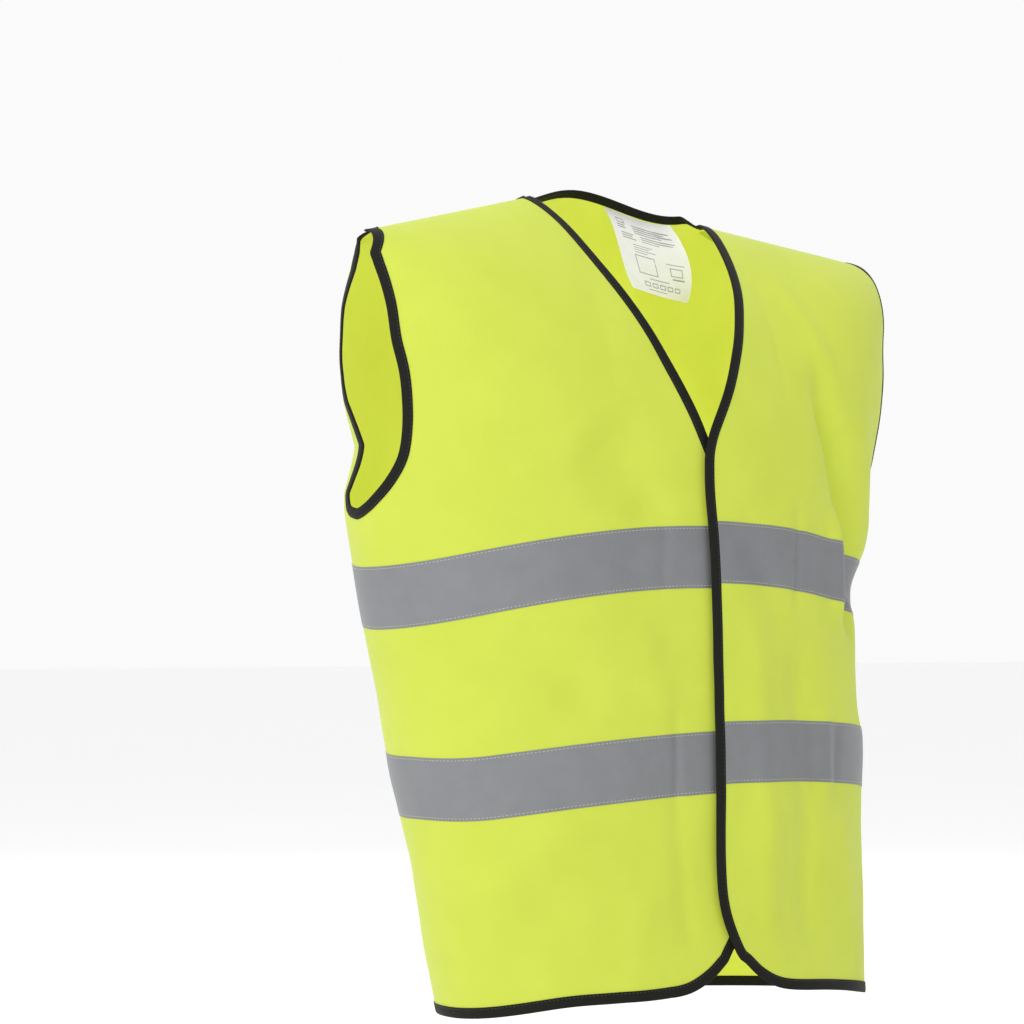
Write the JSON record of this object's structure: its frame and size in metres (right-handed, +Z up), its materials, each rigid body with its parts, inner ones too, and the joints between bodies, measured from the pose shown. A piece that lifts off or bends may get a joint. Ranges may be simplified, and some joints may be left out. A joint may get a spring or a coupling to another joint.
{
  "type": "high visibility vest",
  "caption": "Sleeveless fluorescent yellow safety vest with two reflective bands, black edge binding, V neck and a hook-and-loop front, in the shape it takes on a wearer.",
  "frame": {"origin": "midway between the two points where the shoulder seams meet the neck", "axes": "+Z up along the height, +Y to the wearer's back, +X to the wearer's left; the fronts face -Y"},
  "size_m": [0.5435, 0.2857, 0.6741],
  "materials": {
    "fluorescent_knit": "fluorescent yellow warp-knit polyester, matt with a faint sheen",
    "reflective_tape": "silver-grey glass-bead retroreflective tape, satin",
    "binding": "black woven polyester bias tape, matt",
    "seam_thread": "yellow overlock thread",
    "hook_tape": "yellow nylon hook tape, rough",
    "loop_tape": "yellow brushed nylon loop tape",
    "label_fabric": null
  },
  "bodies": {
    "back": {"back_panel": "fluorescent_knit", "back_upper_tape": "reflective_tape", "back_lower_tape": "reflective_tape", "back_neck_binding": "binding", "back_hem_binding": "binding", "left_side_panel": "fluorescent_knit", "left_side_upper_tape": "reflective_tape", "left_side_lower_tape": "reflective_tape", "left_neck_binding": "binding", "left_hem_binding": "binding", "left_armhole_binding_front": "binding", "left_armhole_binding_back": "binding", "left_side_seam": "seam_thread", "left_shoulder_seam": "seam_thread", "right_side_panel": "fluorescent_knit", "right_side_upper_tape": "reflective_tape", "right_side_lower_tape": "reflective_tape", "right_neck_binding": "binding", "right_hem_binding": "binding", "right_armhole_binding_front": "binding", "right_armhole_binding_back": "binding", "right_side_seam": "seam_thread", "right_shoulder_seam": "seam_thread"},
    "left_front": {"left_front_panel": "fluorescent_knit", "left_front_upper_tape": "reflective_tape", "left_front_lower_tape": "reflective_tape", "left_edge_binding": "binding", "hook_tabs": "hook_tape"},
    "right_front": {"right_front_panel": "fluorescent_knit", "right_front_upper_tape": "reflective_tape", "right_front_lower_tape": "reflective_tape", "right_edge_binding": "binding", "loop_tabs": "loop_tape"},
    "label": {"care_label": "label_fabric"}
  },
  "joints": [
    {"name": "left_front_fold", "type": "hinge", "parent": "back", "child": "left_front", "pos_m": [0.15, -0.135, -0.69], "axis": [-0.1863, 0.0042, 0.9825], "range_deg": [0, 100]},
    {"name": "right_front_fold", "type": "hinge", "parent": "back", "child": "right_front", "pos_m": [-0.15, -0.1155, -0.69], "axis": [0.1863, -0.0237, 0.9822], "range_deg": [-25, 0]},
    {"name": "label_flip", "type": "hinge", "parent": "back", "child": "label", "pos_m": [0.05, 0.034, 0.001], "axis": [0.8966, -0.4124, -0.1614], "range_deg": [-110, 0]}
  ],
  "couplings": [
    {"joint": "right_front_fold", "follows": "left_front_fold", "ratio": -0.25}
  ]
}
